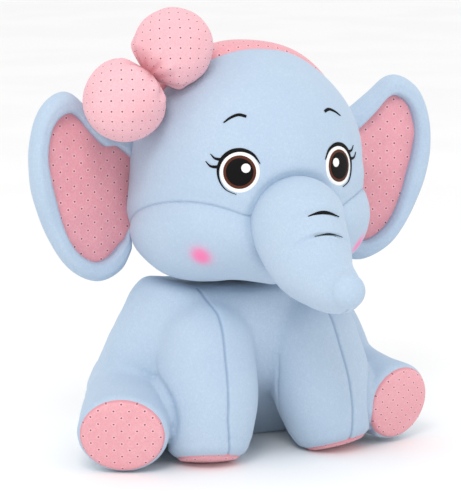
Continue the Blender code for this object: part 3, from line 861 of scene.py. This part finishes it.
def torso_middle_and_depth(height, in_front):
    """Middle of the torso at a height, and its depth as a share of its half width.

    In front it is shallower towards the seat, where the belly tucks in.
    """
    rise = np.clip(height / TORSO_HEIGHT, 0, 1)
    middle = TORSO_FOOT_Y + (TORSO_TOP_Y - TORSO_FOOT_Y) * rise
    return middle, TORSO_DEPTH_SHARE - (TORSO_DEPTH_SHARE - BELLY_DEPTH_SHARE) * (1 - rise) * in_front


def torso_points(inset=0.0, rows=60, columns=120):
    profile = curve_through(TORSO_PROFILE, np.linspace(0, len(TORSO_PROFILE) - 1, rows))
    angles = np.linspace(0, 2 * math.pi, columns, endpoint=False)
    radius = np.maximum(profile[:, 0] - inset, 0)[:, None]
    z = np.clip(profile[:, 1], inset, TORSO_HEIGHT - inset)[:, None] + 0 * angles
    middle, depth = torso_middle_and_depth(z, np.maximum(-np.sin(angles), 0))
    y = middle + radius * depth * np.sin(angles)
    tucked = BELLY_RAISE * smoothstep(85 * MM, 40 * MM, y) * (1 - smoothstep(0, 75 * MM, z))
    y = y + BELLY_TUCK * np.maximum(-np.sin(angles), 0) * (1 - smoothstep(40 * MM, 130 * MM, z))
    x = radius * np.cos(angles)
    shoulder = SHOULDER_RISE * smoothstep(45 * MM, 90 * MM, np.abs(x)) * smoothstep(115 * MM, 150 * MM, z)
    return np.stack([x, y, z + tucked + shoulder], -1)


def leg_axis(kind, side):
    joint = JOINT_AT[f"{side}_{LEG_JOINTS[kind]}"] + LEG_STARTS[kind]
    foot = FEET[kind, side]
    axis = unit(foot - joint)
    level = unit(np.cross(axis, (0, 0, 1)))
    return joint, foot, axis, level, np.cross(level, axis)


def leg_radius(kind, share):
    """Radius of a leg at a share of its length: fullest at the thigh."""
    ball, thigh, foot_radius, _, _ = LEGS[kind]
    return float(curve_through([(ball,), (thigh,), (foot_radius,)], np.array(np.clip(2 * share, 0, 2)))[0])


def leg_points(kind, side, inset=0.0, columns=72):
    """Rings of one leg: a ball at its joint, and a rounded rim round its flat foot."""
    ball, _, foot_radius, upright, rim = LEGS[kind]
    joint, foot, axis, level, up = leg_axis(kind, side)
    length = np.linalg.norm(foot - joint)
    profile = [(ball * math.sin(a), -ball * math.cos(a)) for a in np.linspace(0, math.pi / 2, 16)]
    end = length + SOLE_END
    for along in np.linspace(0.06 * length, end - rim - 1 * MM, 12):
        profile.append((leg_radius(kind, along / length), along))
    for a in np.linspace(0, math.pi / 2, 8):
        profile.append((foot_radius - rim + rim * math.cos(a), end - rim + rim * math.sin(a)))
    profile += [(foot_radius * 0.5, end), (0, end)]
    angles = np.linspace(0, 2 * math.pi, columns, endpoint=False)
    rows = []
    for radius, along in profile:
        reach = max(radius - inset, 0)
        along = min(max(along, -ball + inset), end - inset)
        tall = 1 + (upright - 1) * float(smoothstep(0, 0.6 * length, along))
        ring = joint + axis * along + reach * (
            level * np.cos(angles)[:, None] + up * (tall * np.sin(angles))[:, None]
        )
        ring[:, 2] = np.maximum(ring[:, 2], 0.4 * MM + inset)
        rows.append(ring)
    return np.array(rows)


def joined_skin():
    """One skin over the torso and four legs, with soft fillets where they are sewn together."""
    vertices, faces = [], []
    grids = [torso_points()] + [leg_points(kind, side) for kind in LEGS for side in LEG_SEAMS]
    for grid in grids:
        first = sum(len(v) for v in vertices)
        rows, columns = grid.shape[:2]
        faces += grid_faces(rows, columns, True, first)
        vertices.append(grid.reshape(-1, 3))
    whole = new_object("joined_body", np.concatenate(vertices), faces, blue)
    weld(whole)
    remesh = whole.modifiers.new("Voxels", "REMESH")
    remesh.mode = "VOXEL"
    remesh.voxel_size = VOXEL
    first_pass = evaluated_copy(whole, "voxels")
    relax(first_pass)
    smooth = first_pass.modifiers.new("Subdivide", "SUBSURF")
    smooth.levels = smooth.render_levels = 1
    fine = evaluated_copy(first_pass, "fine")
    for old in (whole, first_pass):
        bpy.data.objects.remove(old)
    return fine


def evaluated_copy(source, name):
    graph = bpy.context.evaluated_depsgraph_get()
    mesh = bpy.data.meshes.new_from_object(source.evaluated_get(graph))
    made = bpy.data.objects.new(name, mesh)
    bpy.context.scene.collection.objects.link(made)
    return made


def vertices_of(made):
    flat = np.empty(len(made.data.vertices) * 3)
    made.data.vertices.foreach_get("co", flat)
    return flat.reshape(-1, 3)


def relax(made, rounds=26):
    """Evens the skin out, most at the shoulders and least low down between the legs."""
    points = vertices_of(made)
    ends = np.empty(len(made.data.edges) * 2, int)
    made.data.edges.foreach_get("vertices", ends)
    a, b = ends.reshape(-1, 2).T
    degree = np.bincount(np.concatenate([a, b]), minlength=len(points))
    start = points - LAYOUT_SHIFT
    shoulders = smoothstep(80 * MM, 118 * MM, start[:, 2])
    hips = smoothstep(88 * MM, 108 * MM, np.abs(start[:, 0])) * smoothstep(28 * MM, 60 * MM, start[:, 2])
    share = 0.05 + 0.95 * np.maximum(shoulders, hips * smoothstep(30 * MM, 60 * MM, start[:, 1]))
    for _ in range(rounds):
        total = np.zeros_like(points)
        for axis in range(3):
            total[:, axis] = np.bincount(a, points[b, axis], len(points)) + np.bincount(
                b, points[a, axis], len(points)
            )
        points += (total / degree[:, None] - points) * (0.6 * share)[:, None]
    points[:, 2] = np.maximum(points[:, 2], 0)
    made.data.vertices.foreach_set("co", points.ravel())


def body_seams(points):
    """Depth and darkness of the sewn lines over the torso and legs."""
    groove = np.zeros(len(points))
    flat = points[:, [0, 2]]
    for line in LEG_SEAMS.values():
        gap, _ = polyline_distance(flat, line)
        groove = np.maximum(groove, bump(gap, SEAM_HALF_WIDTH) * (points[:, 1] < 45 * MM))
    back = bump(points[:, 0], SEAM_HALF_WIDTH) * smoothstep(100 * MM, 110 * MM, points[:, 1])
    return np.maximum(groove, back)


def leg_gap(points, kind, side):
    """Rough distance outside a leg. Above its joint nothing belongs to it."""
    joint, foot, axis, _, _ = leg_axis(kind, side)
    ball, _, foot_radius, _, _ = LEGS[kind]
    along = (points - joint) @ axis
    share = np.clip(along / np.linalg.norm(foot - joint), 0, 1.4)
    off = np.linalg.norm(points - joint - along[:, None] * axis, axis=1) - ball - (foot_radius - ball) * share
    return np.where(along > 6 * MM, off, 1.0)


def leg_folds(points, names):
    """1 in the folds where a leg meets the belly or another leg, low down in front. It deepens the folds, and half of
    it is painted shade in them.
    """
    gaps = np.sort([torso_gap(points)] + [leg_gap(points, kind, side) for kind, side in names], axis=0)
    low = (1 - smoothstep(60 * MM, 100 * MM, points[:, 2])) * (1 - smoothstep(30 * MM, 75 * MM, points[:, 1]))
    return bump(gaps[1] - gaps[0], 4 * MM) * low * (gaps[1] < 12 * MM)


def build_body():
    fine = joined_skin()
    points = vertices_of(fine) - LAYOUT_SHIFT
    normals = np.empty(len(points) * 3)
    fine.data.vertices.foreach_get("normal", normals)
    normals = normals.reshape(-1, 3)
    names = [(kind, side) for kind in LEGS for side in LEG_SEAMS]
    fold = leg_folds(points, names)
    # The seam value also takes half the fold mask: painted shade in the folds between the legs and the belly.
    groove = np.maximum(body_seams(points), 0.5 * fold)
    uneven = 1.0 * MM * lumps(points, 70 * MM, 13) + 0.35 * MM * lumps(points, 24 * MM, 17)
    lift = uneven * smoothstep(4 * MM, 50 * MM, points[:, 2]) * smoothstep(0, 60 * MM, points[:, 1])
    lift -= SEAM_GROOVE * body_seams(points) + FOLD_DEPTH * fold
    points = points + normals * lift[:, None]
    points[:, 2] = np.maximum(points[:, 2], 0)

    faces = [tuple(polygon.vertices) for polygon in fine.data.polygons]
    centres = np.array([points[list(face)].mean(0) for face in faces])
    owner = np.zeros(len(faces), int)
    best = torso_gap(centres)
    for k, (kind, side) in enumerate(names):
        gap = leg_gap(centres, kind, side)
        gap = np.where(gap < LEG_REACH, gap, 1.0)
        owner = np.where(gap < best, k + 1, owner)
        best = np.minimum(best, gap)
    bpy.data.objects.remove(fine)
    build_owned("torso_cover", points, groove, faces, owner == 0, torso_points(CORE_INSET))
    place(bpy.data.objects["torso_cover"], "torso_body", ("torso", "torso_filling"))
    for k, (kind, side) in enumerate(names):
        joint, foot, axis, _, _ = leg_axis(kind, side)
        label = f"{side}_{kind}_leg"
        core = leg_points(kind, side, CORE_INSET)
        made = build_owned(f"{label}_cover", points, groove, faces, owner == k + 1, core)
        length = np.linalg.norm(foot - joint)
        bend = ("torso_body", joint + axis * BEND_FROM * length, joint + axis * length)
        place(made, f"{label}_body", (label, label + "_filling"), bend)
        build_sole(kind, side)


def torso_gap(points):
    """Rough distance outside the torso."""
    height = np.clip(points[:, 2], 0, TORSO_HEIGHT)
    table = curve_through(TORSO_PROFILE[2:], np.linspace(0, len(TORSO_PROFILE) - 3, 200))
    radius = np.interp(height, table[:, 1], table[:, 0])
    middle, _ = torso_middle_and_depth(height, 0.0)
    in_front = np.clip((middle - points[:, 1]) / (0.5 * radius), 0, 1)
    _, depth = torso_middle_and_depth(height, in_front)
    return np.hypot(points[:, 0], (points[:, 1] - middle) / depth) - radius


def build_owned(name, points, groove, faces, chosen, core):
    """The chosen faces of the joined skin, over this piece's own closed form a little below them."""
    picked = [face for face, use in zip(faces, chosen) if use]
    used = sorted({index for face in picked for index in face})
    renumber = {old: new for new, old in enumerate(used)}
    rows, columns = core.shape[:2]
    vertices = np.concatenate([points[used], core.reshape(-1, 3)])
    all_faces = [tuple(renumber[i] for i in face) for face in picked]
    all_faces += grid_faces(rows, columns, True, len(used))
    made = new_object(name, vertices, all_faces, blue)
    layer = made.data.attributes.new("seam", "FLOAT", "POINT")
    values = np.concatenate([groove[used], np.zeros(rows * columns)])
    layer.data.foreach_set("value", values.astype(np.float32))
    weld(made)
    return made


def build_sole(kind, side):
    """A crowned patterned disc sewn into the end of a leg."""
    _, _, foot_radius, upright, rim = LEGS[kind]
    joint, foot, axis, level, up = leg_axis(kind, side)
    shares = np.linspace(0, 1, 60)
    angles = np.linspace(0, 2 * math.pi, 140, endpoint=False)
    share, angle = np.meshgrid(shares, angles, indexing="ij")
    flat = foot_radius - rim
    reach = (flat + (foot_radius - flat) * SOLE_SHARES[kind]) * share
    rolled = rim - np.sqrt(np.maximum(rim**2 - np.maximum(reach - flat, 0) ** 2, 0))
    crown = 2.6 * MM * (1 - share**2) + 2.6 * MM * np.sqrt(np.clip(1 - share**16, 0, 1)) - 1.6 * MM - rolled
    base = np.linalg.norm(foot - joint) + SOLE_END + 0.4 * MM
    offset = (np.cos(angle) * reach)[..., None] * level + (upright * np.sin(angle) * reach)[..., None] * up
    points = joint + axis * (base + crown)[..., None] + offset
    points[..., 2] = np.maximum(points[..., 2], 0)
    diagonal = np.stack([(np.cos(angle) + np.sin(angle)), (np.sin(angle) - np.cos(angle))], -1)
    uv = diagonal * reach[..., None] / math.sqrt(2)
    seam = smoothstep(0.90, 1.0, share)
    made = skin(f"{side}_{kind}_leg_sole_cloth", points, pink, paint={"seam": seam}, uv=uv)
    label = f"{side}_{kind}_leg"
    place(made, f"{label}_body", (label + "_sole",))


# Tail


def build_tail():
    low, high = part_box("tail")
    top = np.array([(low.x + high.x) / 2, (low.y + high.y) / 2, high.z]) - LAYOUT_SHIFT
    length = high.z - low.z
    radius = (high.x - low.x) / 2
    profile = curve_through(
        [(0, 0), (0.8, 0.04), (1.0, 0.2), (0.8, 0.55), (0.95, 0.85), (0.7, 0.97), (0, 1.0)],
        np.linspace(0, 6, 60),
    )
    angles = np.linspace(0, 2 * math.pi, 48, endpoint=False)
    rows = []
    for share, down in profile:
        reach = max(share, 0) * radius
        rows.append(
            np.stack(
                [top[0] + reach * np.cos(angles), top[1] + reach * np.sin(angles), top[2] - length * down + 0 * angles],
                -1,
            )
        )
    made = skin("tail_cover", np.array(rows), blue)
    place(made, "tail_body", ("tail",))


# Stage


def area_light(name, place_at, aim, size, power, colour=(1, 1, 1)):
    light = bpy.data.lights.new(name, "AREA")
    light.shape = "DISK"
    light.size = size
    light.energy = power
    light.color = colour
    made = bpy.data.objects.new(name, light)
    made.location = place_at
    made.rotation_euler = (Vector(aim) - Vector(place_at)).to_track_quat("-Z", "Y").to_euler()
    bpy.context.scene.collection.objects.link(made)


def build_stage():
    floor_size = 6.0
    corners = [(-1, -1), (1, -1), (1, 1), (-1, 1)]
    nodes = Nodes("pale_floor", 0.9)
    nodes.finish(nodes.mix(nodes.ramp(nodes.noise(3, 2), 0.4, 0.6), (0.93, 0.93, 0.93, 1), (0.95, 0.95, 0.95, 1)))
    floor = new_object(
        "floor", [(x * floor_size, y * floor_size, -0.2 * MM) for x, y in corners], [(0, 1, 2, 3)], nodes.material
    )
    world = bpy.data.worlds.new("studio")
    world.use_nodes = True
    world.node_tree.nodes["Background"].inputs["Color"].default_value = (1, 1, 1, 1)
    world.node_tree.nodes["Background"].inputs["Strength"].default_value = 1.0
    bpy.context.scene.world = world
    bpy.context.scene.view_settings.view_transform = "Standard"
    aim = (0, 0.05, 0.18)
    area_light("key", (-1.1, -1.5, 2.0), aim, 1.1, 20, (1, 0.99, 0.98))
    area_light("fill", (1.6, -1.2, 0.9), aim, 1.6, 2, (1.0, 0.95, 1.0))


def build_camera():
    camera = bpy.data.cameras.new("camera")
    camera.lens = 194
    camera.sensor_width = 36
    made = bpy.data.objects.new("camera", camera)
    made.location = Vector((-1.024, -2.107, 0.602)) + Vector(LAYOUT_SHIFT)
    aim = Vector((-0.0173, 0.0529, 0.1816)) + Vector(LAYOUT_SHIFT)
    made.rotation_euler = (aim - made.location).to_track_quat("-Z", "Y").to_euler()
    bpy.context.scene.collection.objects.link(made)
    bpy.context.scene.camera = made


build_head()
build_crown_band()
build_face()
build_trunk()
for ear_side, ear_sign in (("left", 1), ("right", -1)):
    build_ear(ear_side, ear_sign)
build_bow()
build_body()
build_tail()
build_stage()
build_camera()
